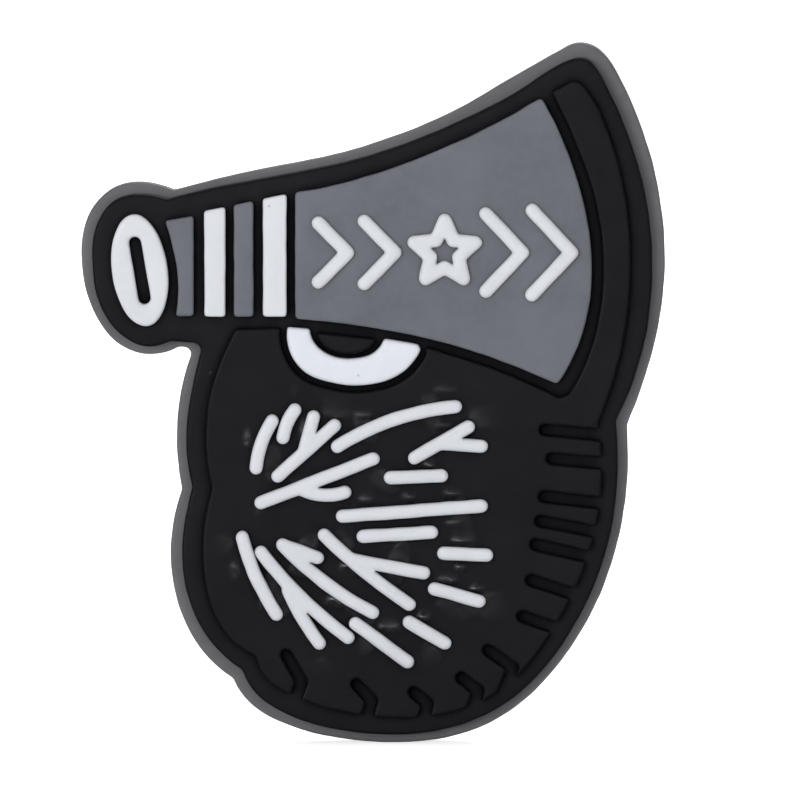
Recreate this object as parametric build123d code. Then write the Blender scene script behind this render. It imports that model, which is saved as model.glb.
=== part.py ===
from build123d import *

import os

# Shoe charm in moulded soft PVC: a cheer megaphone lying over a pom-pom.
#
# The charm is a flat relief made of colour pours. A grey base plate carries a black body. White and
# grey inlays stand in pockets in the body, and a soft plug in the back snaps into a hole in a clog.
#
# Everything is drawn lying flat, with X to the right and Y up the picture, and with Z as the height
# in front of the charm's back face. stand_up() turns the flat model to the part's own frame: +Z up
# the picture, the front facing -Y, and the origin where the plug's axis meets the back face.
# Sizes are in millimetres.

# Heights of the relief, in front of the back face
BASE_TOP = 1.3  # the grey ledge that shows round the edge
BORDER_TOP = 2.1  # the black border, and the floor of every moat
FACE_TOP = 2.55  # the raised black face of the pom-pom and of the bell's lip
INLAY_TOP = 2.6  # grey panel, neck bands, mouthpiece ring and handle
STREAMER_TOP = 2.95
EMBLEM_TOP = 2.95

# Depth of the pockets that the inlays are bonded into
INLAY_POCKET = 0.45  # below BORDER_TOP
STREAMER_POCKET = 0.4  # below FACE_TOP
EMBLEM_POCKET = 0.3  # below INLAY_TOP

# Line widths and gaps
STREAMER_WIDTH = 0.72
EMBLEM_WIDTH = 0.74
SLOT_WIDTH = 0.62  # fringe slots in the rim of the pom-pom

# Corner radii in the flat outlines
PLATE_CORNER = 0.4  # base, body and raised face
PANEL_CORNER = 0.2
SMALL_CORNER = 0.12  # neck bands and handle

# Roundings of the front edges
PLATE_EDGE = 0.18
INLAY_EDGE = 0.15
LOOP_EDGE = 0.2  # mouthpiece ring and handle
EMBLEM_EDGE = 0.25
STREAMER_EDGE = 0.3  # nearly half round

# The plug, as radius and as distance behind the back face
FLANGE_RADIUS = 6.5
FLANGE_THICKNESS = 0.8
NECK_RADIUS = 3.5
GROOVE_LENGTH = 3.2  # from the back face to the underside of the head
NECK_FILLET = 0.4
HEAD_RADIUS = 5.8
HEAD_RIM = 0.6  # radius of the rounding under the head
HEAD_SHOULDER = (4.2, -5.45)
HEAD_END = 6.3
DIMPLE_EDGE = 1.6  # radius where the dome runs into the moulding dimple at its top
DIMPLE_DEPTH = 0.35

# Outlines. Each run of points is one smooth curve, and runs meet at corners.
BASE_OUTLINE = [
    # right side of the bell, round its upper tip and down the flare to the neck
    [(12.22, -1.43), (13.28, 1.45), (14.21, 6.1), (14.06, 10.45), (12.25, 16.5), (11.55, 17.85),
     (10.94, 18.68), (10.31, 19.13), (9.5, 19.23), (8.8, 18.92), (6.5, 17.63), (3.56, 15.9),
     (-0.81, 14.02), (-3.3, 13.27), (-8.1, 12.3), (-10.2, 11.81), (-12.15, 11.3)],
    # mouthpiece
    [(-12.15, 11.3), (-13.45, 11.7), (-15.0, 11.6), (-16.6, 10.26), (-17.16, 7.6),
     (-16.45, 4.65), (-14.85, 2.82), (-13.28, 2.47), (-11.93, 2.88)],
    [(-11.93, 2.88), (-11.08, 2.83)],
    # left side of the pom-pom, in two lobes
    [(-11.08, 2.83), (-11.76, 0.63), (-12.03, -1.7), (-11.75, -4.88)],
    [(-11.75, -4.88), (-12.29, -7.04), (-12.3, -9.63), (-11.25, -12.8), (-9.02, -15.12)],
    # bottom and right side of the pom-pom
    [(-9.02, -15.12), (-8.18, -16.42), (-6.24, -17.6), (-2.48, -18.5), (0.43, -18.6),
     (3.62, -18.06), (5.99, -16.87), (8.38, -14.6), (10.99, -10.13), (12.26, -4.4),
     (12.22, -1.43)],
]
BODY_OUTLINE = [
    [(11.62, -1.08), (12.64, 1.3), (13.36, 4.21), (13.58, 7.2), (13.4, 9.94), (12.24, 14.42),
     (11.05, 17.1), (10.48, 18.04), (9.92, 18.48), (9.35, 18.44), (7.0, 17.12), (4.48, 15.68),
     (1.78, 14.45), (-0.7, 13.52), (-3.51, 12.75), (-7.6, 11.97), (-10.2, 11.47), (-12.5, 10.88)],
    [(-12.5, 10.88), (-13.88, 11.16), (-15.26, 10.86), (-16.24, 9.72), (-16.56, 7.6),
     (-16.2, 5.32), (-15.28, 3.82), (-13.95, 3.01), (-12.42, 3.24)],
    [(-12.42, 3.24), (-10.62, 3.12)],
    [(-10.62, 3.12), (-11.31, 0.11), (-11.51, -1.9), (-11.18, -4.68)],
    [(-11.18, -4.68), (-11.69, -7.07), (-11.71, -9.13), (-11.24, -11.2), (-10.13, -13.15),
     (-8.52, -14.57)],
    [(-8.52, -14.57), (-8.05, -15.53), (-6.05, -17.02), (-2.97, -17.9), (0.38, -18.07),
     (3.25, -17.58), (5.67, -16.42), (7.4, -14.94), (9.36, -12.26), (11.33, -7.29),
     (11.7, -4.7), (11.62, -1.08)],
]
# Outer edge of the raised black face: pom-pom and bell lip together
FACE_OUTLINE = [
    [(10.67, -1.08), (11.67, 1.8), (12.3, 5.24), (12.37, 8.6), (12.08, 11.3), (11.27, 14.26),
     (10.0, 16.8), (9.5, 17.24), (8.8, 17.0)],
    [(8.8, 17.0), (7.9, 16.6)],
    [(7.9, 16.6), (-8.2, 5.0)],
    [(-8.2, 5.0), (-9.32, 2.97), (-10.13, 0.81), (-10.48, -1.9), (-10.13, -4.7)],
    [(-10.13, -4.7), (-10.55, -6.6), (-10.64, -8.6), (-10.1, -11.3), (-9.2, -12.8),
     (-7.75, -13.75)],
    [(-7.75, -13.75), (-7.4, -14.75), (-5.95, -15.85), (-2.27, -16.95), (0.9, -17.12),
     (3.5, -16.6), (5.95, -15.2), (8.25, -12.3), (9.77, -9.37), (10.6, -6.5), (10.86, -3.0),
     (10.67, -1.08)],
]
# The megaphone's own ground: the black border level between the inlays of neck and bell
MEGAPHONE_GROUND = [
    [(-12.0, 4.0), (-6.4, 3.96), (-1.2, 3.65), (2.16, 2.72), (4.3, 2.05), (6.5, 1.2),
     (8.55, 0.22)],
    [(8.55, 0.22), (9.1, 0.42)],
    [(9.1, 0.42), (10.0, 2.16), (10.7, 4.64), (10.92, 7.1), (10.56, 10.5), (9.56, 13.6),
     (8.2, 16.6)],
    [(8.2, 16.6), (7.6, 17.6)],
    [(7.6, 17.6), (-12.0, 12.0)],
    [(-12.0, 12.0), (-12.0, 4.0)],
]
PANEL_OUTLINE = [
    [(-5.64, 4.48), (-2.4, 4.14), (2.48, 3.16), (6.05, 1.97), (8.45, 0.95)],
    [(8.45, 0.95), (9.28, 2.33), (9.96, 4.22), (10.32, 6.96), (9.95, 10.37), (9.02, 13.43),
     (7.6, 16.38)],
    [(7.6, 16.38), (4.97, 14.9), (1.3, 13.24), (-2.0, 12.08), (-5.64, 11.28)],
    [(-5.64, 11.28), (-5.64, 4.48)],
]
HANDLE_OUTLINE = [
    [(-6.06, 4.04), (-5.98, 2.84), (-5.18, 1.65), (-3.88, 1.07), (-1.98, 0.89), (-0.28, 1.33),
     (1.12, 2.83)],
    [(1.12, 2.83), (0.97, 3.11)],
    [(0.97, 3.11), (-0.85, 3.42)],
    [(-0.85, 3.42), (-1.5, 2.6), (-2.5, 2.34), (-3.6, 2.46), (-4.53, 3.09), (-4.84, 3.92)],
    [(-4.84, 3.92), (-6.06, 4.04)],
]
# The moat round the handle runs up into the megaphone's ground, and leaves a black island inside
# the loop
HANDLE_MOAT_OUTLINE = [
    [(-6.42, 4.3), (-6.32, 2.72), (-5.42, 1.36), (-3.97, 0.72), (-1.95, 0.53), (-0.1, 1.0),
     (1.4, 2.6)],
    [(1.4, 2.6), (1.4, 3.6)],
    [(1.4, 3.6), (-6.42, 4.3)],
]
ISLAND_OUTLINE = [
    [(-4.45, 3.72), (-4.2, 3.15), (-3.5, 2.72), (-2.5, 2.6), (-1.75, 2.85), (-1.3, 3.4)],
    [(-1.3, 3.4), (-4.45, 3.72)],
]
# Neck bands from the mouthpiece to the bell. The first one follows the mouthpiece ring.
FIRST_BAND_OUTLINE = [
    [(-12.64, 9.75), (-11.09, 10.02)],
    [(-11.09, 10.02), (-11.09, 4.62)],
    [(-11.09, 4.62), (-12.08, 4.62)],
    [(-12.08, 4.62), (-11.92, 6.15), (-12.12, 7.95), (-12.64, 9.75)],
]
BAND_LEFT = [-10.52, -8.93, -7.37]
BAND_RIGHT = [-9.38, -7.88, -6.1]
BAND_BOTTOM = 4.6
BAND_SLOPE = 0.21  # rise of the band tops per millimetre towards the bell
BAND_TOP_AT_ZERO = 12.48  # height of that line at x = 0

# Mouthpiece ring: an oval that leans to the left, with a slot in it
RING_CENTRE = (-13.99, 7.08)
RING_RADII = (1.5, 3.03)
RING_LEAN = 7.5
RING_SLOT_LENGTH = 3.7
RING_SLOT_WIDTH = 0.66
RING_SLOT_LEAN = 9.5

# Pom-pom streamers. Each stroke is a straight line of two points or an arc through three, and a
# streamer of two strokes is forked. Their whole pattern sits a little above its own origin.
STREAMERS_AT = (0.03, 0.09)
STREAMERS = {
    "streamer_left_outer": [[(-6.9, -1.1), (-7.5, -2.35), (-7.78, -3.65)]],
    "streamer_left_inner": [[(-5.68, -0.5), (-6.1, -1.22), (-6.33, -2.0)]],
    "streamer_left_fork": [[(-3.55, -1.35), (-6.6, -4.08)], [(-4.68, -0.88), (-5.15, -2.6)]],
    "streamer_top_arc": [[(-3.4, -2.48), (-0.35, -1.02), (2.95, -0.33)]],
    "streamer_right_fork": [[(3.65, -1.42), (0.75, -3.1)], [(4.35, -2.47), (2.3, -2.33)]],
    "streamer_middle_fork": [
        [(-1.47, -3.15), (-7.52, -5.53)],
        [(-3.0, -4.95), (-4.1, -5.12), (-5.3, -4.8)],
    ],
    "streamer_upper_dash": [[(-0.55, -4.18), (2.2, -4.06)]],
    "streamer_long_bar": [[(-3.13, -6.26), (4.35, -5.7)]],
    "streamer_middle_dash": [[(-2.03, -7.34), (1.68, -7.13)]],
    "streamer_right_dash": [[(2.32, -8.25), (4.65, -8.37)]],
    "streamer_lower_dash": [[(1.83, -10.19), (4.23, -10.86)]],
    "streamer_low_dash": [[(0.47, -12.0), (2.38, -13.13)]],
    "streamer_bottom_bar": [[(-2.43, -12.07), (0.37, -14.15)]],
    "streamer_centre_fork": [
        [(-4.12, -7.28), (-2.05, -9.15), (0.48, -11.03)],
        [(1.25, -9.33), (-2.6, -8.62)],
    ],
    "streamer_wedge_fork": [
        [(-6.35, -7.8), (-4.18, -9.78), (-1.5, -11.47)],
        [(-4.47, -8.5), (-6.3, -7.84)],
    ],
    "streamer_long_fork": [
        [(-7.52, -8.2), (-5.17, -10.85), (-2.83, -12.82)],
        [(-4.38, -13.13), (-5.55, -11.3), (-6.05, -10.25)],
    ],
    "streamer_far_left": [[(-8.52, -7.4), (-7.72, -9.7), (-6.68, -11.57)]],
}

# Fringe slots in the rim of the pom-pom, from its right side round to the bottom. Each runs from
# its round inner end out through the edge, and those at the bottom hook back to the left.
FRINGE_SLOTS = [
    [(7.8, -1.5), (11.2, -1.85)],
    [(8.15, -3.07), (11.2, -3.35)],
    [(7.75, -5.13), (11.0, -5.5)],
    [(7.55, -6.45), (10.9, -7.1)],
    [(7.3, -7.72), (10.6, -8.5)],
    [(7.05, -9.65), (9.9, -10.6)],
    [(6.6, -11.62), (8.8, -12.4)],
    [(4.75, -13.45), (6.1, -14.4), (5.5, -15.9)],
    [(3.3, -14.95), (4.25, -15.65), (3.7, -17.1)],
    [(0.75, -15.75), (1.5, -16.4), (1.1, -17.7)],
    [(-2.35, -15.3), (-1.5, -16.2), (-2.0, -17.6)],
    [(-6.15, -13.7), (-5.3, -15.15), (-5.8, -16.5)],
]

# Emblem on the bell: a star between two pairs of chevrons that grow with the flare. Each is given
# by its centre line's X and by its height.
EMBLEM_LEVEL = 8.07
STAR = (2.4, 4.2)
STAR_INNER_SHARE = 0.46
CHEVRONS = {
    "emblem_chevron_1": (-3.6, 3.9),
    "emblem_chevron_2": (-1.1, 4.1),
    "emblem_chevron_3": (5.6, 4.9),
    "emblem_chevron_4": (8.15, 5.3),
}
CHEVRON_DEPTH_SHARE = 0.4  # how far the point reaches, as a share of the height


def region(runs, corner=0.0):
    """A flat closed region from runs of points, with its corners rounded."""
    flat = make_face([Spline(run) if len(run) > 2 else Line(run) for run in runs])
    return fillet(flat.vertices(), corner) if corner else flat


def stroke(points, width):
    """A line or an arc drawn with a round pen."""
    path = ThreePointArc(*points) if len(points) == 3 else Line(*points)
    return Sketch() + Face(Wire([path.edge()]).offset_2d(width / 2))


def strokes(lines, width):
    """Several strokes drawn as one region."""
    drawn = Sketch()
    for points in lines:
        drawn += stroke(points, width)
    return drawn


def segments(points):
    """The straight lines from point to point."""
    return list(zip(points, points[1:]))


def raise_up(flat, low, high, edge=0.0):
    """The solid over a flat region between two heights, with its front edges rounded."""
    solid = Pos(0, 0, low) * extrude(flat, high - low)
    if edge:
        front = solid.faces().sort_by(Axis.Z)[-1]
        solid = fillet(front.edges(), edge)
    return solid


def stand_up(solid):
    """From the flat drawing to the part's own frame."""
    return Rot(90, 0, 0) * solid


def band_flat(left, right):
    """A neck band: upright sides, a level foot and a top that rises with the neck."""
    top_left = (left, BAND_TOP_AT_ZERO + BAND_SLOPE * left)
    top_right = (right, BAND_TOP_AT_ZERO + BAND_SLOPE * right)
    sides = Polyline((left, BAND_BOTTOM), (right, BAND_BOTTOM), top_right, top_left, close=True)
    return fillet(make_face(sides).vertices(), SMALL_CORNER)


def ring_flat():
    oval = Ellipse(*RING_RADII)
    slot = Rot(0, 0, 90) * SlotOverall(RING_SLOT_LENGTH, RING_SLOT_WIDTH)
    return Pos(*RING_CENTRE) * (Rot(0, 0, RING_LEAN) * oval - Rot(0, 0, RING_SLOT_LEAN) * slot)


def chevron_flat(x, height):
    """An arrowhead of two strokes that points to the bell's mouth."""
    reach = (height - EMBLEM_WIDTH) / 2
    depth = height * CHEVRON_DEPTH_SHARE
    back = x - depth / 2
    tip = (back + depth, EMBLEM_LEVEL)
    points = [(back, EMBLEM_LEVEL + reach), tip, (back, EMBLEM_LEVEL - reach)]
    return strokes(segments(points), EMBLEM_WIDTH)


def star_flat():
    """A five-pointed star drawn as an outline."""
    x, height = STAR
    outer = (height - EMBLEM_WIDTH) / 2
    centre = Vector(x, EMBLEM_LEVEL)
    points = []
    for i in range(10):
        radius = outer if i % 2 == 0 else outer * STAR_INNER_SHARE
        points.append(centre + Vector(0, radius).rotate(Axis.Z, 36 * i))
    return strokes(segments([*points, points[0]]), EMBLEM_WIDTH)


def face_flat():
    """The raised black face: pom-pom and bell lip, without the megaphone's ground."""
    flat = region(FACE_OUTLINE, PLATE_CORNER) - region(MEGAPHONE_GROUND)
    flat -= region(HANDLE_MOAT_OUTLINE)
    for points in FRINGE_SLOTS:
        for line in segments(points):
            flat -= stroke(line, SLOT_WIDTH)
    return flat


def plug():
    """Flange, neck and mushroom head, turned about the axis and lying behind the back face."""
    root = NECK_RADIUS + NECK_FILLET
    neck_end = GROOVE_LENGTH - NECK_FILLET
    underside = HEAD_RADIUS - HEAD_RIM
    widest = GROOVE_LENGTH + HEAD_RIM
    dimple_floor = HEAD_END - DIMPLE_DEPTH
    sides = Polyline(
        (0, -dimple_floor), (0, FLANGE_THICKNESS), (FLANGE_RADIUS, FLANGE_THICKNESS),
        (FLANGE_RADIUS, 0), (root, 0),
    )
    front_fillet = RadiusArc((root, 0), (NECK_RADIUS, -NECK_FILLET), NECK_FILLET)
    neck = Line((NECK_RADIUS, -NECK_FILLET), (NECK_RADIUS, -neck_end))
    head_fillet = RadiusArc((NECK_RADIUS, -neck_end), (root, -GROOVE_LENGTH), NECK_FILLET)
    ledge = Line((root, -GROOVE_LENGTH), (underside, -GROOVE_LENGTH))
    rim = RadiusArc((underside, -GROOVE_LENGTH), (HEAD_RADIUS, -widest), -HEAD_RIM)
    dome = Spline(
        [(HEAD_RADIUS, -widest), HEAD_SHOULDER, (DIMPLE_EDGE, -HEAD_END)],
        tangents=[(0, -1), (-1, 0)],
    )
    dimple = Spline(
        [(DIMPLE_EDGE, -HEAD_END), (0, -dimple_floor)],
        tangents=[(-1, 0), (-1, 0)],
    )
    profile = make_face([sides, front_fillet, neck, head_fillet, ledge, rim, dome, dimple])
    return revolve(Rot(90, 0, 0) * profile, Axis.Z)


def base_plate():
    """The grey plate, with a recess in its back that holds the plug's flange."""
    recess = Pos(0, 0, FLANGE_THICKNESS / 2) * Cylinder(FLANGE_RADIUS, FLANGE_THICKNESS)
    return raise_up(region(BASE_OUTLINE, PLATE_CORNER), 0, BASE_TOP, PLATE_EDGE) - recess


def black_body(inlays, streamers):
    """The black pour: border level, raised face and island, and a pocket for each inlay."""
    body = raise_up(region(BODY_OUTLINE, PLATE_CORNER), BASE_TOP, BORDER_TOP, PLATE_EDGE)
    body += raise_up(face_flat(), BORDER_TOP, FACE_TOP)
    body += raise_up(region(ISLAND_OUTLINE), BORDER_TOP, FACE_TOP)
    for flat in inlays:
        body -= raise_up(flat, BORDER_TOP - INLAY_POCKET, BORDER_TOP)
    for flat in streamers:
        body -= raise_up(flat, FACE_TOP - STREAMER_POCKET, FACE_TOP)
    return body


def build():
    """Every node's solid by name, lying flat."""
    bands = {
        "neck_band_grey_1": region(FIRST_BAND_OUTLINE, SMALL_CORNER),
        "neck_band_white_1": band_flat(BAND_LEFT[0], BAND_RIGHT[0]),
        "neck_band_grey_2": band_flat(BAND_LEFT[1], BAND_RIGHT[1]),
        "neck_band_white_2": band_flat(BAND_LEFT[2], BAND_RIGHT[2]),
    }
    loops = {"mouthpiece_ring": ring_flat(), "handle_loop": region(HANDLE_OUTLINE, SMALL_CORNER)}
    panel = region(PANEL_OUTLINE, PANEL_CORNER)
    emblems = {name: chevron_flat(x, height) for name, (x, height) in CHEVRONS.items()}
    emblems["emblem_star"] = star_flat()
    streamers = {}
    for name, lines in STREAMERS.items():
        streamers[name] = Pos(*STREAMERS_AT) * strokes(lines, STREAMER_WIDTH)

    inlay_floor = BORDER_TOP - INLAY_POCKET
    emblem_floor = INLAY_TOP - EMBLEM_POCKET
    streamer_floor = FACE_TOP - STREAMER_POCKET
    nodes = {"base_plate": base_plate(), "shoe_plug": plug()}
    nodes["black_body"] = black_body([*bands.values(), *loops.values(), panel], streamers.values())
    nodes["bell_panel"] = raise_up(panel, inlay_floor, INLAY_TOP, INLAY_EDGE)
    for name, flat in emblems.items():
        nodes["bell_panel"] -= raise_up(flat, emblem_floor, INLAY_TOP)
        nodes[name] = raise_up(flat, emblem_floor, EMBLEM_TOP, EMBLEM_EDGE)
    for name, flat in bands.items():
        nodes[name] = raise_up(flat, inlay_floor, INLAY_TOP, INLAY_EDGE)
    for name, flat in loops.items():
        nodes[name] = raise_up(flat, inlay_floor, INLAY_TOP, LOOP_EDGE)
    for name, flat in streamers.items():
        nodes[name] = raise_up(flat, streamer_floor, STREAMER_TOP, STREAMER_EDGE)
    return nodes


os.makedirs("parts", exist_ok=True)
for node, solid in build().items():
    export_step(stand_up(solid), f"parts/{node}.step")
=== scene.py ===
import math

import bmesh
import bpy
import numpy as np
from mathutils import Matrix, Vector, kdtree, noise
from mathutils.geometry import delaunay_2d_cdt


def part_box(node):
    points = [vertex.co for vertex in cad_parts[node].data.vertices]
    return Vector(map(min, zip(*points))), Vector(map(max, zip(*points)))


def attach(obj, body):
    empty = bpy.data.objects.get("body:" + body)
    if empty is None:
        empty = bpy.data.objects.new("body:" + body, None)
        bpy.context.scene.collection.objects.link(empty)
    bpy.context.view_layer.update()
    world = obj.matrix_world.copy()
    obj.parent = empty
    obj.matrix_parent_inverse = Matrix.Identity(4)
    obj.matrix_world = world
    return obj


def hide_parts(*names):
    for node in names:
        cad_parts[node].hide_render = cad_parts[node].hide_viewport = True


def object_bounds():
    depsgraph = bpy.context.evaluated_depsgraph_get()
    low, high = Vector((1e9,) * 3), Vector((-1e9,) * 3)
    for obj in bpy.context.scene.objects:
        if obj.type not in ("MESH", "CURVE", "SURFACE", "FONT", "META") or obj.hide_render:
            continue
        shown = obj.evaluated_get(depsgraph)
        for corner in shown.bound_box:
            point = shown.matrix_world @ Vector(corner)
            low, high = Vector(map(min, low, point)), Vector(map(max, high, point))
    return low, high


# The look of a moulded soft PVC shoe charm: a cheer megaphone over a pom-pom.
#
# The plug is turned from the profile of its CAD node. Every other piece is a relief raised from the
# outlines of its own node, with rounded edges. Outlines and heights are read from the frame. They
# are in millimetres, as complex points x + iz across the front and as heights in front of the
# charm's back face, so y = -height.

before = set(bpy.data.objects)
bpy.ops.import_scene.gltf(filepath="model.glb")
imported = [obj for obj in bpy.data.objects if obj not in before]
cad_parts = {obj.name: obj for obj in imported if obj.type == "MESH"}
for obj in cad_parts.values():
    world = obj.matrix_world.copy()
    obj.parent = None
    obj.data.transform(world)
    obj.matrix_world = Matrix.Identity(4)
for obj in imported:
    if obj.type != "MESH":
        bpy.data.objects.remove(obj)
cad_low, cad_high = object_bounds()

MM = 0.001  # in metres
LINE_NODES = [name for name in sorted(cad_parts) if name.startswith("streamer_")]
EMBLEM_NODES = [name for name in sorted(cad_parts) if name.startswith("emblem_")]
BAND_NODES = [name for name in sorted(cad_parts) if name.startswith("neck_band_")]

# Outlines, in mm
SMALLEST_FLAT = 0.3  # mm²; smaller flats are slivers of a rounding
STEP = 0.1  # between points along an outline
REACH = 0.07  # over which the CAD's facets are smoothed away
WAVER = 0.025  # that a poured edge strays from its outline
WAVER_SIZE = 1.1  # of the waves in a poured edge
WAVER_OFFSET = 20  # between the waves that stray across and the waves that stray up
ON_RING = 1e-4  # a point this near a ring lies on it
SAME_AREA = 0.05  # mm²; rings that differ less in area and in centre are one ring at two levels
SAME_CENTRE = 0.3

# Meshes, in mm
PLAIN_SPACING = 0.8  # between points on a flat face
BORDER_SPACING = 0.6
FACE_SPACING = 0.17
FACE_ROWS = [0.25, 0.38]  # more rows of points beside the face's edges
EDGE_STEPS = 5  # rows of points over a rounding
BACK_EDGE_STEPS = 3
SIDE_ROWS = 12  # rows of faces up the side of the base
WELD = 0.0005
SHARP_ANGLE = math.radians(40)

# Radii of the rounded edges, in mm
BASE_EDGE = 0.18
BACK_EDGE = 0.1
BODY_EDGE = 0.18
FACE_EDGE = 0.14

# Finish of each kind of inlay, in mm: radius and drop of its rounded edge, rise of its crown from
# the edge, and spacing of its points
PANEL_FINISH = (0.15, 0.13, 0.0, 0.5)
BAND_FINISH = (0.16, 0.14, 0.03, 0.3)
RING_FINISH = (0.22, 0.18, 0.05, 0.3)
HANDLE_FINISH = (0.24, 0.2, 0.05, 0.3)
LINE_FINISH = (0.3, 0.26, 0.0, 0.2)
CROWN_REACH = 0.6  # over which a crowned top rises

# Slow waves over the surfaces, as size and height in mm
INLAY_WAVES = (1.3, 0.012)
BASE_FRONT_WAVES = (3, 0.02)
BASE_BACK_WAVES = (4, 0.01)
BORDER_WAVES = (2.5, 0.015)
FACE_WAVES = (2.2, 0.02)

# The parting line round the base: height in mm, and place and spread as shares of the side wall
PARTING_RIDGE = 0.035
PARTING_AT = 0.45
PARTING_SPREAD = 0.07

# Where black stood up round the streamers as it was poured. Each is placed by shares of a
# streamer's box across and up, with its half length and half width in mm.
PUDDLES = [
    ("streamer_top_arc", 0.24, 0.72, 0.5, 0.22),
    ("streamer_top_arc", 0.87, 1.2, 0.55, 0.2),
    ("streamer_top_arc", 0.84, 0.52, 0.5, 0.16),
    ("streamer_left_outer", -0.06, 0.6, 0.2, 0.5),
    ("streamer_left_inner", 1.1, 0.25, 0.25, 0.75),
    ("streamer_upper_dash", 0.7, 1.25, 0.35, 0.2),
    ("streamer_long_bar", 0.2, 1.0, 0.4, 0.25),
    ("streamer_long_bar", 0.48, 1.1, 0.35, 0.18),
    ("streamer_long_bar", 0.77, 1.25, 0.45, 0.2),
    ("streamer_long_bar", 0.78, -0.02, 0.45, 0.2),
    ("streamer_right_dash", 0.45, 1.35, 0.55, 0.22),
    ("streamer_right_dash", 0.42, -0.4, 0.3, 0.22),
    ("streamer_lower_dash", 0.35, 1.1, 0.5, 0.25),
    ("streamer_lower_dash", 0.85, 0.75, 0.4, 0.2),
    ("streamer_low_dash", 0.45, 0.95, 0.35, 0.25),
    ("streamer_bottom_bar", 0.62, 0.8, 0.55, 0.3),
    ("streamer_wedge_fork", 0.72, 0.62, 0.5, 0.4),
    ("streamer_wedge_fork", 0.6, 0.22, 0.6, 0.35),
    ("streamer_long_fork", 0.55, 0.15, 0.25, 0.4),
    ("streamer_far_left", -0.02, 0.55, 0.25, 0.5),
]
PUDDLE_REACH = 0.75  # mm from the streamers
PUDDLE_HEIGHT = 0.12  # mm
PATCH_OFFSET = 40  # mm between these waves and the face's own
PATCH_SIZE = 1.7  # mm
PATCH_GAIN = 3.5  # the crests of the waves, steepened and cut off, make fainter patches
PATCH_START = 0.75
PATCH_MOST = 0.3
LUMP_WAVES = (0.5, 0.9)  # size in mm, and strength
LUMP_MOST = 1.3

# The turned plug, in mm
CORNER_TURN = math.radians(30)  # a sharper turn than this is a corner
PLUG_EASE = 0.12  # cut off each corner
PLUG_STEP = 0.12  # between rows of points
PLUG_PASSES = 12  # of smoothing, which take out the CAD's facets
PLUG_TURNS = 120  # points round each row
PLUG_RIDGE = 0.05  # mould ridge round the head
PLUG_RIDGE_REACH = 0.09
PLUG_WAVE = 0.04  # slow unevenness
PLUG_WAVE_SIZE = 2.5

# Sizes in the PVC's surface, in mm
CLOUD_SIZE = 4.0
MOTTLE_SIZE = 0.5
DUST_SPACING = 1.6
DUST_PATCHES = 2.3
RUB_RADIUS = 0.12
RUB_PATCHES = 0.9
# reach of the ambient occlusion behind the painted shade in hollows
HOLLOW_REACH = 0.8
SHEEN_PATCHES = 1.2
PIT_SPACING = 0.9
PIT_PATCHES = 3.1
FINE_GRAIN = 0.07
COARSE_GRAIN = 0.35
BUMP_HEIGHT = 0.02

# Colours, as linear light
WHITE = (0.775, 0.797, 0.845)
COOL_WHITE = (0.84, 0.87, 0.95)
PANEL = (0.157, 0.166, 0.193)
BASE = (0.155, 0.155, 0.166)
BLACK = (0.008, 0.008, 0.0115)
PLUG_BLACK = (0.02, 0.02, 0.023)
GREY_DUST = (0.12, 0.12, 0.13)

# Studio. Lengths are in metres, and the lights' powers in watts.
FLOOR_RADIUS = 0.75  # of flat floor, wide enough for a camera low down at any side
FLOOR_TURNS = 96
FLOOR_CURVE_STEPS = 15
FLOOR_PAINT = (0.9, 0.9, 0.9, 1)
FLOOR_ROUGHNESS = 0.9
FLOOR_GLOW = 0.7  # lifts the floor to white in the picture, and lights nothing else
SOFTBOXES = [  # name, place, width, height, power
    ("key", (-0.3, -0.44, 0.1), 0.25, 0.2, 0.78),
    ("fill", (0.3, -0.35, 0.12), 0.25, 0.35, 0.12),
    ("low", (-0.05, -0.35, 0.02), 0.4, 0.06, 0.2),
    ("back", (0.1, 0.4, 0.35), 0.3, 0.3, 1.2),
]
SKY_LIGHT = 0.66
SKY_MIRRORED = 0.12  # dimmer in reflections, so that black stays black
LENS = 400  # mm; long, so that the picture is nearly square-on everywhere
FRAMED_SHARE = 0.8775  # of the picture's height that the charm fills
CAMERA_RISE = math.radians(5)


# ---- Outlines, from the CAD nodes ----

def chained(edges):
    """Closed rings of points from a set of directed edges."""
    following = dict(sorted(edges))
    rings = []
    while following:
        start = next(iter(following))
        ring, point = [start], following.pop(start)
        while point != start:
            ring.append(point)
            point = following.pop(point)
        rings.append(np.array([complex(*point) for point in ring]))
    return rings


def signed_area(ring):
    return float(np.imag(np.conj(ring) * np.roll(ring, -1)).sum() / 2)


def flat_levels(node):
    """{height: outlines} of a node's flat faces. The face lies to the left of every outline."""
    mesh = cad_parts[node].data
    points = [vertex.co / MM for vertex in mesh.vertices]
    borders = {}
    for face in mesh.polygons:
        heights = {round(-points[i].y, 3) for i in face.vertices}
        if len(heights) > 1:
            continue
        edges = borders.setdefault(heights.pop(), set())
        ring = [(round(points[i].x, 4), round(points[i].z, 4)) for i in face.vertices]
        for start, end in zip(ring, ring[1:] + ring[:1]):
            if (end, start) in edges:
                edges.remove((end, start))
            else:
                edges.add((start, end))
    levels = {}
    for height, edges in sorted(borders.items()):
        rings = chained(edges)
        total = sum(signed_area(ring) for ring in rings)
        if abs(total) > SMALLEST_FLAT:
            levels[height] = rings if total > 0 else [ring[::-1] for ring in rings]
    return levels


def smoothed(ring, step, reach):
    """A ring resampled at even steps, with the CAD's facets smoothed away over a reach."""
    closed = np.append(ring, ring[0])
    along = np.append(0, np.cumsum(np.abs(np.diff(closed))))
    count = max(16, round(along[-1] / step))
    at = np.linspace(0, along[-1], count, endpoint=False)
    even = np.interp(at, along, closed.real) + 1j * np.interp(at, along, closed.imag)
    waves = np.fft.fftfreq(count) * count / along[-1]
    kernel = np.exp(-2 * (math.pi * reach * waves) ** 2)
    return np.fft.ifft(np.fft.fft(even) * kernel)


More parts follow.
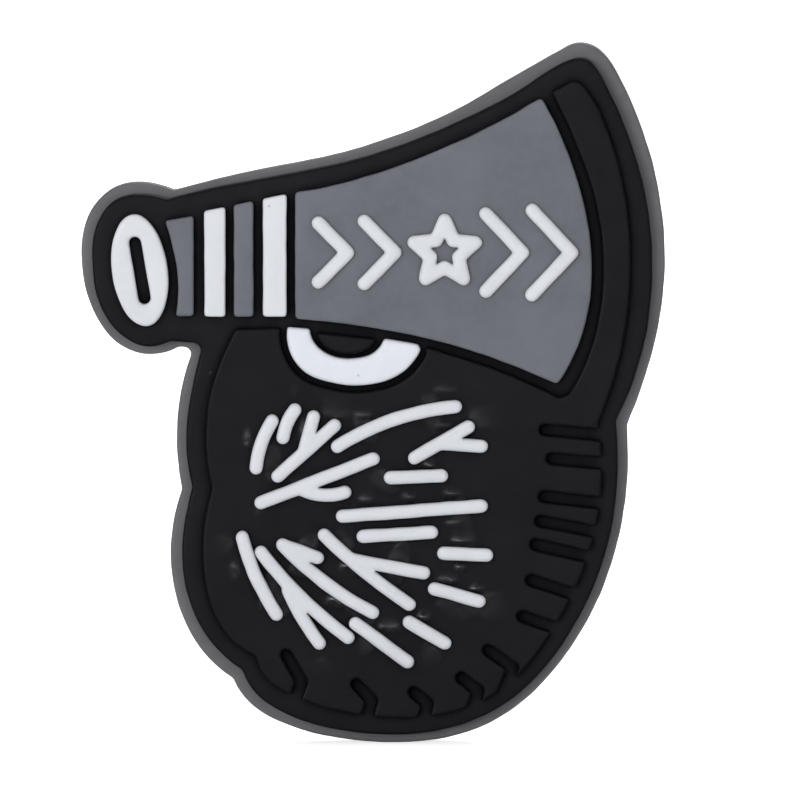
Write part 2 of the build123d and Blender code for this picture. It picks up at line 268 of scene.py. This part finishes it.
def wavered(ring, amount, size):
    """A ring with the slight unevenness of poured colour."""
    across = unevenness(ring, size, amount)
    up = unevenness(ring + WAVER_OFFSET, size, amount)
    return ring + across + 1j * up


# ---- Reliefs ----


class Outlines:
    """The rings round one flat region, with the nearest distance to them."""

    def __init__(self, rings):
        self.rings = rings
        self.points = np.concatenate(rings)
        self.before = np.concatenate([np.roll(ring, 1) for ring in rings])
        self.after = np.concatenate([np.roll(ring, -1) for ring in rings])
        self.tree = kdtree.KDTree(len(self.points))
        for index, point in enumerate(self.points):
            self.tree.insert((point.real, point.imag, 0), index)
        self.tree.balance()

    def distance(self, points):
        """Distance from each point to the nearest stretch of a ring."""
        nearest = np.array([self.tree.find((p.real, p.imag, 0))[1] for p in points], dtype=int)
        centre = self.points[nearest]
        best = np.full(len(points), np.inf)
        for other in (self.before[nearest], self.after[nearest]):
            line = other - centre
            share = np.real(np.conj(line) * (points - centre)) / np.abs(line) ** 2
            foot = centre + line * np.clip(share, 0, 1)
            best = np.minimum(best, np.abs(points - foot))
        return np.where(best < ON_RING, 0, best)

    def holds(self, points):
        """Whether each point lies inside, by counting the edges to its right."""
        order = np.argsort(points.imag)
        xs, zs = points.real[order], points.imag[order]
        inside = np.zeros(len(points), dtype=bool)
        lows = np.searchsorted(zs, np.minimum(self.points.imag, self.after.imag))
        highs = np.searchsorted(zs, np.maximum(self.points.imag, self.after.imag))
        for start, end, low, high in zip(self.points, self.after, lows, highs):
            if low == high:
                continue
            share = (zs[low:high] - start.imag) / (end.imag - start.imag)
            inside[low:high] ^= xs[low:high] < start.real + share * (end.real - start.real)
        answer = np.empty(len(points), dtype=bool)
        answer[order] = inside
        return answer


def patch_points(outlines, rows, spacing):
    """Points inside the outlines: rows beside the rings, and a grid over the rest."""
    found = []
    for ring in outlines.rings:
        along = np.roll(ring, -1) - np.roll(ring, 1)
        inward = 1j * along / np.abs(along)
        found += [(ring + inward * row, row * 0.9) for row in rows]
    low = complex(outlines.points.real.min(), outlines.points.imag.min())
    high = complex(outlines.points.real.max(), outlines.points.imag.max())
    xs = np.arange(low.real, high.real, spacing)
    zs = np.arange(low.imag, high.imag, spacing * 0.87)
    grid = xs[None, :] + 1j * zs[:, None]
    grid[1::2] += spacing / 2
    found.append((grid.ravel(), max(rows, default=0) + spacing * 0.45))
    kept = []
    for points, clear in found:
        points = points[outlines.holds(points)]
        kept.append(points[outlines.distance(points) >= clear])
    return np.concatenate(kept)


class Relief:
    """A mesh put together from flat patches at different heights and the walls between them."""

    def __init__(self):
        self.corners, self.faces, self.marks = [], [], []

    def add(self, points, heights, faces, marks=None):
        start = len(self.corners)
        self.corners += [(p.real, -h, p.imag) for p, h in zip(points, heights)]
        self.marks += list(marks) if marks is not None else [0.0] * len(points)
        self.faces += [[start + i for i in face] for face in faces]

    def patch(self, rings, height_at, rows=(), spacing=PLAIN_SPACING, mark_at=None):
        """The surface inside rings. height_at gives heights from points and edge distances."""
        outlines = Outlines(rings)
        inner = patch_points(outlines, rows, spacing)
        points = np.concatenate([outlines.points, inner])
        edges, start = [], 0
        for ring in rings:
            count = len(ring)
            edges += [(start + i, start + (i + 1) % count) for i in range(count)]
            start += count
        flat = [Vector((p.real, p.imag)) for p in points]
        verts, _, faces, _, _, _ = delaunay_2d_cdt(flat, edges, [], 0, 1e-7)
        placed = np.array([complex(*v) for v in verts])
        inside = outlines.holds(placed[np.array(faces)].mean(axis=1))
        kept = [face for face, keep in zip(faces, inside) if keep]
        distance = outlines.distance(placed)
        marks = mark_at(placed) if mark_at else None
        self.add(placed, height_at(placed, distance), kept, marks)

    def wall(self, ring, low, high, rows=2, stands_out=lambda share: 0.0):
        """A wall along a ring between two heights. stands_out gives its swell at each height."""
        count = len(ring)
        low, high = np.broadcast_to(low, count), np.broadcast_to(high, count)
        along = np.roll(ring, -1) - np.roll(ring, 1)
        outward = -1j * along / np.abs(along)
        points, heights = [], []
        for row in range(rows + 1):
            points += list(ring + outward * stands_out(row / rows))
            heights += list(low + (high - low) * row / rows)
        faces = []
        for row in range(rows):
            for i in range(count):
                a, b = row * count + i, row * count + (i + 1) % count
                faces.append((a, b, b + count, a + count))
        self.add(points, heights, faces)

    def build(self, name):
        mesh = bpy.data.meshes.new(name)
        mesh.from_pydata([(x * MM, y * MM, z * MM) for x, y, z in self.corners], [], self.faces)
        mark = mesh.attributes.new("mark", "FLOAT", "POINT")
        mark.data.foreach_set("value", np.array(self.marks, dtype=np.float32))
        work = bmesh.new()
        work.from_mesh(mesh)
        bmesh.ops.remove_doubles(work, verts=work.verts, dist=WELD * MM)
        bmesh.ops.delete(work, geom=[v for v in work.verts if not v.link_faces], context="VERTS")
        bmesh.ops.recalc_face_normals(work, faces=work.faces)
        for face in work.faces:
            face.smooth = True
        work.to_mesh(mesh)
        work.free()
        mesh.set_sharp_from_angle(angle=SHARP_ANGLE)
        piece = bpy.data.objects.new(name, mesh)
        bpy.context.scene.collection.objects.link(piece)
        return piece


def rounding(distance, radius, drop):
    """How far a rounded edge falls below the top, at each distance from the edge."""
    share = np.clip(1 - distance / radius, 0, 1)
    return drop * (1 - np.sqrt(1 - share ** 2))


def edge_rows(radius, count=EDGE_STEPS):
    """Distances from the edge at which a rounding needs a row of points."""
    return [radius * (1 - math.cos(math.pi / 2 * k / count)) for k in range(1, count + 1)]


def unevenness(points, size, amount):
    """Slow waves over a surface, as heights."""
    return np.array([amount * noise.noise(Vector((p.real, p.imag, 0)) / size) for p in points])


def floor_and_top(node):
    low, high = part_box(node)
    return round(-high.y / MM, 3), round(-low.y / MM, 3)


def drawn(ring):
    """A CAD outline as the mould and the pour leave it."""
    return wavered(smoothed(ring, STEP, REACH), WAVER, WAVER_SIZE)


def raised_piece(node, radius, drop, crown, spacing):
    """An inlay: its outline drawn up from its floor to a top with rounded edges and a crown."""
    floor, top = floor_and_top(node)
    rings = [drawn(ring) for ring in flat_levels(node)[floor]]
    relief = Relief()

    def height_at(points, distance):
        swell = -crown * np.exp(-distance / CROWN_REACH)
        fall = rounding(distance, radius, drop)
        return top + swell - fall + unevenness(points, *INLAY_WAVES)

    relief.patch(rings, height_at, edge_rows(radius), spacing)
    relief.patch(rings, lambda points, distance: np.full(len(points), floor), spacing=spacing)
    for ring in rings:
        relief.wall(ring, floor, height_at(ring, np.zeros(len(ring))))
    return relief.build(f"{node}_skin")


def base_skin():
    """The grey plate: rounded front and back edges, a parting line round its side, a flange recess."""
    levels = flat_levels("base_plate")
    back, recess, front = sorted(levels)
    outer = drawn(max(levels[back], key=abs_area))
    hole = smoothed(levels[recess][0], STEP, REACH)
    relief = Relief()

    def front_at(points, distance):
        fall = rounding(distance, BASE_EDGE, BASE_EDGE)
        return front - fall + unevenness(points, *BASE_FRONT_WAVES)

    def back_at(points, distance):
        rise = rounding(distance, BACK_EDGE, BACK_EDGE)
        return back + rise + unevenness(points, *BASE_BACK_WAVES)

    def recess_at(points, distance):
        return np.full(len(points), recess)

    edge = np.zeros(len(outer))
    relief.patch([outer], front_at, edge_rows(BASE_EDGE))
    relief.patch([outer, hole[::-1]], back_at, edge_rows(BACK_EDGE, BACK_EDGE_STEPS))
    relief.patch([hole], recess_at)
    relief.wall(outer, back_at(outer, edge), front_at(outer, edge), SIDE_ROWS, parting_line)
    relief.wall(hole, back_at(hole, np.zeros(len(hole))), recess)
    return relief.build("base_plate_skin")


def abs_area(ring):
    return abs(signed_area(ring))


def parting_line(share):
    """How far a side wall stands out at a share of its height: a fine ridge where the mould met."""
    return PARTING_RIDGE * math.exp(-((share - PARTING_AT) / PARTING_SPREAD) ** 2)


def puddle_places():
    """(centre, half length, half width) of the black that stood up beside the streamers."""
    places = []
    for node, across, up, half_length, half_width in PUDDLES:
        low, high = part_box(node)
        x = low.x + (high.x - low.x) * across
        z = low.z + (high.z - low.z) * up
        places.append((complex(x, z) / MM, half_length, half_width))
    return places


def body_skin():
    """The black pour: border, raised face and island, with a pocket for every inlay."""
    puddles = puddle_places()
    levels = flat_levels("black_body")
    back, pocket, border, line_pocket, face = sorted(levels)
    shared = []

    def ring_for(ring):
        """The drawn version of a ring, the same one at every level."""
        for known, result in shared:
            same_size = abs(abs_area(known) - abs_area(ring)) < SAME_AREA
            if same_size and abs(known.mean() - ring.mean()) < SAME_CENTRE:
                return result if signed_area(result) * signed_area(ring) > 0 else result[::-1]
        shared.append((ring, drawn(ring)))
        return shared[-1][1]

    outer = ring_for(levels[back][0])
    border_edge = max(levels[border], key=abs_area)
    border_rings = [ring_for(ring) for ring in levels[border] if ring is not border_edge]
    face_rings = [ring_for(ring) for ring in levels[face]]
    rim = Outlines([outer])
    face_edge = Outlines([ring for ring in face_rings if signed_area(ring) > 0])
    lines = Outlines([ring for ring in face_rings if signed_area(ring) < 0])

    def back_at(points):
        return np.full(len(points), back)

    def border_at(points):
        fall = rounding(rim.distance(points), BODY_EDGE, BODY_EDGE)
        return border - fall + unevenness(points, *BORDER_WAVES)

    def puddle_at(points):
        """Where black stood up round a streamer as it was poured, from 0 to 1."""
        near = np.exp(-(lines.distance(points) / PUDDLE_REACH) ** 2)
        waves = unevenness(points + PATCH_OFFSET, PATCH_SIZE, 1.0)
        patches = np.clip(waves * PATCH_GAIN - PATCH_START, 0, PATCH_MOST)
        for centre, half_length, half_width in puddles:
            across = (points.real - centre.real) / half_length
            up = (points.imag - centre.imag) / half_width
            patches = np.maximum(patches, np.exp(-(across ** 2 + up ** 2) ** 2))
        return near * patches * np.clip(1 + unevenness(points, *LUMP_WAVES), 0, LUMP_MOST)

    def face_at(points):
        fall = rounding(face_edge.distance(points), FACE_EDGE, FACE_EDGE)
        swell = PUDDLE_HEIGHT * puddle_at(points)
        return face - fall + swell + unevenness(points, *FACE_WAVES)

    def pocket_at(points):
        return np.full(len(points), pocket)

    def line_pocket_at(points):
        return np.full(len(points), line_pocket)

    relief = Relief()
    relief.patch([outer], lambda p, d: back_at(p))
    border_rows = edge_rows(BODY_EDGE)
    relief.patch([outer, *border_rings], lambda p, d: border_at(p), border_rows, BORDER_SPACING)
    face_rows = edge_rows(FACE_EDGE) + FACE_ROWS
    relief.patch(face_rings, lambda p, d: face_at(p), face_rows, FACE_SPACING, puddle_at)
    relief.patch([ring_for(r) for r in levels[pocket]], lambda p, d: pocket_at(p))
    relief.patch([ring_for(r) for r in levels[line_pocket]], lambda p, d: line_pocket_at(p))
    relief.wall(outer, back_at(outer), border_at(outer))
    for ring in levels[pocket]:
        ring = ring_for(ring)
        relief.wall(ring, pocket_at(ring), border_at(ring))
    for ring in levels[face]:
        raised = signed_area(ring) > 0
        ring = ring_for(ring)
        relief.wall(ring, border_at(ring) if raised else line_pocket_at(ring), face_at(ring))
    return relief.build("black_body_skin")


def turned_profile(node):
    """A turned node's outline from the rim of its front to its axis at the back, as (radius, y)."""
    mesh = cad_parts[node].data
    points = [vertex.co / MM for vertex in mesh.vertices]
    left = {(round(math.hypot(p.x, p.z), 2), round(p.y, 2)) for p in points}
    front = min(y for _, y in left)
    place = max(point for point in left if point[1] == front)
    profile = [place]
    while left:
        place = min(left, key=lambda point: (math.dist(point, place), point))
        left.remove(place)
        profile.append(place)
    return profile[1:]


def eased(profile, reach):
    """A profile with each sharp corner cut back by a reach and turned in two steps."""
    result = [profile[0]]
    for before, corner, after in zip(profile, profile[1:], profile[2:]):
        before, corner, after = Vector(before), Vector(corner), Vector(after)
        toward, away = (before - corner), (after - corner)
        turns = math.pi - toward.angle(away)
        if turns < CORNER_TURN or min(toward.length, away.length) < 2 * reach:
            result.append(tuple(corner))
            continue
        first, last = corner + toward.normalized() * reach, corner + away.normalized() * reach
        result += [tuple(first), tuple((first + last + corner * 2) / 4), tuple(last)]
    return [*result, profile[-1]]


def plug_skin():
    """The plug: flange, neck and head, turned, with a fine mould ridge round the head."""
    profile = eased(turned_profile("shoe_plug"), PLUG_EASE)
    past_flange = len(profile) // 3
    widest = max(profile[past_flange:], key=lambda point: point[0])
    rows = []
    for (radius, y), (next_radius, next_y) in zip(profile, profile[1:]):
        steps = max(1, round(math.dist((radius, y), (next_radius, next_y)) / PLUG_STEP))
        for share in np.arange(steps) / steps:
            rows.append((radius + (next_radius - radius) * share, y + (next_y - y) * share))
    rows = np.array(rows)
    for _ in range(PLUG_PASSES):
        rows[1:-1] = (rows[:-2] + 2 * rows[1:-1] + rows[2:]) / 4
    corners, faces = [], []
    for radius, y in rows:
        ridge = PLUG_RIDGE * math.exp(-(math.dist((radius, y), widest) / PLUG_RIDGE_REACH) ** 2)
        for i in range(PLUG_TURNS):
            turn = 2 * math.pi * i / PLUG_TURNS
            place = Vector((radius * math.cos(turn), y, radius * math.sin(turn)))
            wave = PLUG_WAVE * noise.noise(place / PLUG_WAVE_SIZE)
            swell = 1 + (ridge + wave) / max(radius, 1)
            corners.append((place.x * swell, place.y, place.z * swell))
    for row in range(len(rows) - 1):
        for i in range(PLUG_TURNS):
            a, b = row * PLUG_TURNS + i, row * PLUG_TURNS + (i + 1) % PLUG_TURNS
            faces.append((a, b, b + PLUG_TURNS, a + PLUG_TURNS))
    last = len(rows) - 1
    corners += [(0, rows[0][1], 0), (0, profile[-1][1], 0)]
    for i in range(PLUG_TURNS):
        after = (i + 1) % PLUG_TURNS
        faces.append((after, i, len(corners) - 2))
        faces.append((last * PLUG_TURNS + i, last * PLUG_TURNS + after, len(corners) - 1))
    relief = Relief()
    relief.corners, relief.faces, relief.marks = corners, faces, [0.0] * len(corners)
    return relief.build("shoe_plug_skin")


# ---- Materials ----

def tuned(tree, kind, inputs=None, **settings):
    """A new shader node with its settings and input values."""
    node = tree.nodes.new(kind)
    for name, value in settings.items():
        setattr(node, name, value)
    for name, value in (inputs or {}).items():
        node.inputs[name].default_value = value
    return node


def pvc(name, colour, cloud, roughness, speck, specular=0.35, soft=0.0, hollow_shade=0.3, gloss_marks=False):
    """Moulded soft PVC.

    cloud: how much the poured colour varies. speck: colour of the dust in the surface.
    soft: light carried under the surface. hollow_shade: how much painted shade darkens the colour in
    hollows, where ambient occlusion finds little open air.
    gloss_marks: shine where the mesh is marked.
    """
    material = bpy.data.materials.new(name)
    material.use_nodes = True
    tree = material.node_tree
    link = tree.links.new
    shader = tree.nodes["Principled BSDF"]
    place = tuned(tree, "ShaderNodeTexCoord").outputs["Object"]

    def noise_at(size, detail=3.0, rough=0.55):
        inputs = {"Scale": 1 / (size * MM), "Detail": detail, "Roughness": rough}
        node = tuned(tree, "ShaderNodeTexNoise", inputs)
        link(place, node.inputs["Vector"])
        return node.outputs["Fac"]

    def cell_distance(spacing):
        """Distance from scattered points, in shares of their spacing."""
        node = tuned(tree, "ShaderNodeTexVoronoi", {"Scale": 1 / (spacing * MM), "Randomness": 1.0})
        link(place, node.inputs["Vector"])
        return node.outputs["Distance"]

    def spread(value, low, high, to_low, to_high):
        inputs = {"From Min": low, "From Max": high, "To Min": to_low, "To Max": to_high}
        node = tuned(tree, "ShaderNodeMapRange", inputs)
        link(value, node.inputs["Value"])
        return node.outputs["Result"]

    def mixed(factor, first, second):
        node = tuned(tree, "ShaderNodeMix", data_type="RGBA")
        link(factor, node.inputs["Factor"])
        for socket, value in ((node.inputs["A"], first), (node.inputs["B"], second)):
            if isinstance(value, tuple):
                socket.default_value = (*value, 1)
            else:
                link(value, socket)
        return node.outputs["Result"]

    def product(first, second):
        node = tuned(tree, "ShaderNodeMath", operation="MULTIPLY")
        link(first, node.inputs[0])
        if isinstance(second, float):
            node.inputs[1].default_value = second
        else:
            link(second, node.inputs[1])
        return node.outputs["Value"]

    def total(first, second):
        node = tuned(tree, "ShaderNodeMath", operation="ADD")
        link(first, node.inputs[0])
        link(second, node.inputs[1])
        return node.outputs["Value"]

    dark = tuple(c * (1 - cloud) for c in colour)
    light = tuple(min(1, c * (1 + cloud)) for c in colour)
    clouds = mixed(spread(noise_at(CLOUD_SIZE), 0.3, 0.7, 0, 1), dark, light)
    mottle = mixed(spread(noise_at(MOTTLE_SIZE), 0.4, 0.75, 0, 0.5), clouds, light)

    grains = spread(cell_distance(DUST_SPACING), 0.03, 0.06, 1, 0)
    grains = product(grains, spread(noise_at(DUST_PATCHES), 0.52, 0.58, 0, 0.55))
    dusty = mixed(grains, mottle, speck)

    bevel = tuned(tree, "ShaderNodeBevel", {"Radius": RUB_RADIUS * MM}, samples=4)
    plain = tuned(tree, "ShaderNodeNewGeometry")
    agree = tuned(tree, "ShaderNodeVectorMath", operation="DOT_PRODUCT")
    link(bevel.outputs["Normal"], agree.inputs[0])
    link(plain.outputs["Normal"], agree.inputs[1])
    worn = spread(agree.outputs["Value"], 0.99, 0.8, 0, 0.35)
    worn = product(worn, spread(noise_at(RUB_PATCHES), 0.4, 0.65, 0.15, 1))
    rubbed = mixed(worn, dusty, tuple(min(1, c * 1.35 + 0.01) for c in colour))
    # Painted shade: the colour is darkened where ambient occlusion finds the surface hemmed in, for the
    # shade that falls in slots, moats and hollows.
    open_air = tuned(tree, "ShaderNodeAmbientOcclusion", {"Distance": HOLLOW_REACH * MM}, samples=8)
    light_in = spread(open_air.outputs["AO"], 0.4, 0.9, 0, 1)
    shaded_hollows = mixed(light_in, tuple(c * (1 - hollow_shade) for c in colour), rubbed)
    link(shaded_hollows, shader.inputs["Base Color"])

    skin = spread(noise_at(SHEEN_PATCHES, 5.0), 0.3, 0.7, roughness - 0.07, roughness + 0.09)
    if gloss_marks:
        marks = tuned(tree, "ShaderNodeAttribute", attribute_name="mark").outputs["Fac"]
        skin = total(skin, product(marks, -0.2))
        # Painted shade on the reflections: the shine is also cut where ambient occlusion finds a hollow.
        shine = product(spread(marks, 0, 1, specular, 0.9), light_in)
        link(shine, shader.inputs["Specular IOR Level"])
    else:
        shader.inputs["Specular IOR Level"].default_value = specular
    link(skin, shader.inputs["Roughness"])

    pitted = spread(cell_distance(PIT_SPACING), 0.0, 0.09, -1, 0)
    pitted = product(pitted, spread(noise_at(PIT_PATCHES), 0.5, 0.56, 0, 1))
    grain = total(product(noise_at(FINE_GRAIN, 4.0, 0.7), 0.35), noise_at(COARSE_GRAIN))
    bump = tuned(tree, "ShaderNodeBump", {"Strength": 0.35, "Distance": BUMP_HEIGHT * MM})
    link(total(grain, pitted), bump.inputs["Height"])
    link(bump.outputs["Normal"], shader.inputs["Normal"])

    shader.inputs["Subsurface Weight"].default_value = soft
    shader.inputs["Subsurface Radius"].default_value = (0.4, 0.4, 0.45)
    shader.inputs["Subsurface Scale"].default_value = MM
    return material


def dress(piece, node, material):
    """Puts a piece in place of its CAD node, in its material."""
    piece.data.materials.clear()
    piece.data.materials.append(material)
    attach(piece, "root")
    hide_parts(node)


white_pvc = pvc("white_pvc", WHITE, cloud=0.035, roughness=0.42, speck=(0.4, 0.39, 0.38), soft=0.12)
handle_pvc = pvc(
    "white_pvc_cool", COOL_WHITE, cloud=0.03, roughness=0.4, speck=(0.45, 0.45, 0.45), soft=0.12
)
panel_pvc = pvc(
    "panel_grey_pvc", PANEL, cloud=0.12, roughness=0.5, speck=(0.05, 0.05, 0.05), specular=0.3, hollow_shade=0.4
)
base_pvc = pvc(
    "base_grey_pvc", BASE, cloud=0.12, roughness=0.55, speck=(0.3, 0.3, 0.3), specular=0.3, hollow_shade=0.1
)
black_pvc = pvc(
    "black_pvc", BLACK, cloud=0.14, roughness=0.46, speck=GREY_DUST, specular=0.15, hollow_shade=0.6,
    gloss_marks=True,
)
plug_pvc = pvc("plug_black_pvc", PLUG_BLACK, cloud=0.14, roughness=0.38, speck=GREY_DUST, hollow_shade=0.4)

dress(base_skin(), "base_plate", base_pvc)
dress(body_skin(), "black_body", black_pvc)
dress(plug_skin(), "shoe_plug", plug_pvc)
dress(raised_piece("bell_panel", *PANEL_FINISH), "bell_panel", panel_pvc)
for node in BAND_NODES:
    material, slot = (panel_pvc, "panel_grey_pvc") if "grey" in node else (white_pvc, "white_pvc")
    dress(raised_piece(node, *BAND_FINISH), node, material)
dress(raised_piece("mouthpiece_ring", *RING_FINISH), "mouthpiece_ring", white_pvc)
dress(raised_piece("handle_loop", *HANDLE_FINISH), "handle_loop", handle_pvc)
for node in EMBLEM_NODES + LINE_NODES:
    dress(raised_piece(node, *LINE_FINISH), node, white_pvc)


# ---- Stage, lights and camera ----

def studio_paint():
    """White paint that glows for the camera alone."""
    paint = bpy.data.materials.new("studio_white")
    paint.use_nodes = True
    tree = paint.node_tree
    finish = tree.nodes["Principled BSDF"].inputs
    finish["Base Color"].default_value = FLOOR_PAINT
    finish["Roughness"].default_value = FLOOR_ROUGHNESS
    finish["Emission Color"].default_value = (1, 1, 1, 1)
    seen = tuned(tree, "ShaderNodeLightPath").outputs["Is Camera Ray"]
    glow = tuned(tree, "ShaderNodeMapRange", {"To Min": 0.0, "To Max": FLOOR_GLOW})
    tree.links.new(seen, glow.inputs["Value"])
    tree.links.new(glow.outputs["Result"], finish["Emission Strength"])
    return paint


def cyclorama(floor_z):
    """A round pale floor that curves up into a wall on every side."""
    profile = [(FLOOR_RADIUS, 0.0)]
    for turn in np.linspace(0, math.pi / 2, FLOOR_CURVE_STEPS + 1)[1:]:
        profile.append((FLOOR_RADIUS * (1 + math.sin(turn)), FLOOR_RADIUS * (1 - math.cos(turn))))
    profile.append((2 * FLOOR_RADIUS, 3 * FLOOR_RADIUS))
    corners = []
    for radius, rise in profile:
        for i in range(FLOOR_TURNS):
            turn = 2 * math.pi * i / FLOOR_TURNS
            corners.append((radius * math.cos(turn), radius * math.sin(turn), floor_z + rise))
    faces = [tuple(range(FLOOR_TURNS))]
    for row in range(len(profile) - 1):
        for i in range(FLOOR_TURNS):
            a, b = row * FLOOR_TURNS + i, row * FLOOR_TURNS + (i + 1) % FLOOR_TURNS
            faces.append((a, a + FLOOR_TURNS, b + FLOOR_TURNS, b))
    mesh = bpy.data.meshes.new("studio_floor")
    mesh.from_pydata(corners, [], faces)
    for face in mesh.polygons:
        face.use_smooth = True
    mesh.materials.append(studio_paint())
    floor = bpy.data.objects.new("studio_floor", mesh)
    bpy.context.scene.collection.objects.link(floor)
    floor.visible_glossy = False


def softbox(name, place, target, width, height, power):
    light = bpy.data.lights.new(name, "AREA")
    light.shape, light.size, light.size_y, light.energy = "RECTANGLE", width, height, power
    lamp = bpy.data.objects.new(name, light)
    lamp.location = place
    lamp.rotation_mode = "QUATERNION"
    lamp.rotation_quaternion = (Vector(target) - Vector(place)).to_track_quat("-Z", "Y")
    bpy.context.scene.collection.objects.link(lamp)


def sky():
    """Even white light from all round."""
    world = bpy.data.worlds.new("studio")
    world.use_nodes = True
    tree = world.node_tree
    back = tree.nodes["Background"]
    back.inputs["Color"].default_value = (1, 1, 1, 1)
    mirrored = tuned(tree, "ShaderNodeLightPath").outputs["Is Glossy Ray"]
    level = tuned(tree, "ShaderNodeMapRange", {"To Min": SKY_LIGHT, "To Max": SKY_MIRRORED})
    tree.links.new(mirrored, level.inputs["Value"])
    tree.links.new(level.outputs["Result"], back.inputs["Strength"])
    bpy.context.scene.world = world


def front_camera(aim, height):
    """A camera in front and a little above, which frames a height."""
    data = bpy.data.cameras.new("camera")
    data.lens = LENS
    data.clip_start, data.clip_end = 0.005, 10
    distance = height / FRAMED_SHARE / (data.sensor_width / data.lens)
    toward = Vector((0, -math.cos(CAMERA_RISE), math.sin(CAMERA_RISE)))
    camera = bpy.data.objects.new("camera", data)
    camera.location = aim + toward * distance
    camera.rotation_mode = "QUATERNION"
    camera.rotation_quaternion = (-toward).to_track_quat("-Z", "Y")
    bpy.context.scene.collection.objects.link(camera)
    bpy.context.scene.camera = camera


cyclorama(cad_low.z)
middle = (cad_low + cad_high) / 2
for name, place, width, height, power in SOFTBOXES:
    softbox(name, place, middle, width, height, power)
sky()
front_camera(Vector((0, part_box("base_plate")[0].y, 0)), (cad_high - cad_low).z)
bpy.context.scene.view_settings.view_transform = "Standard"
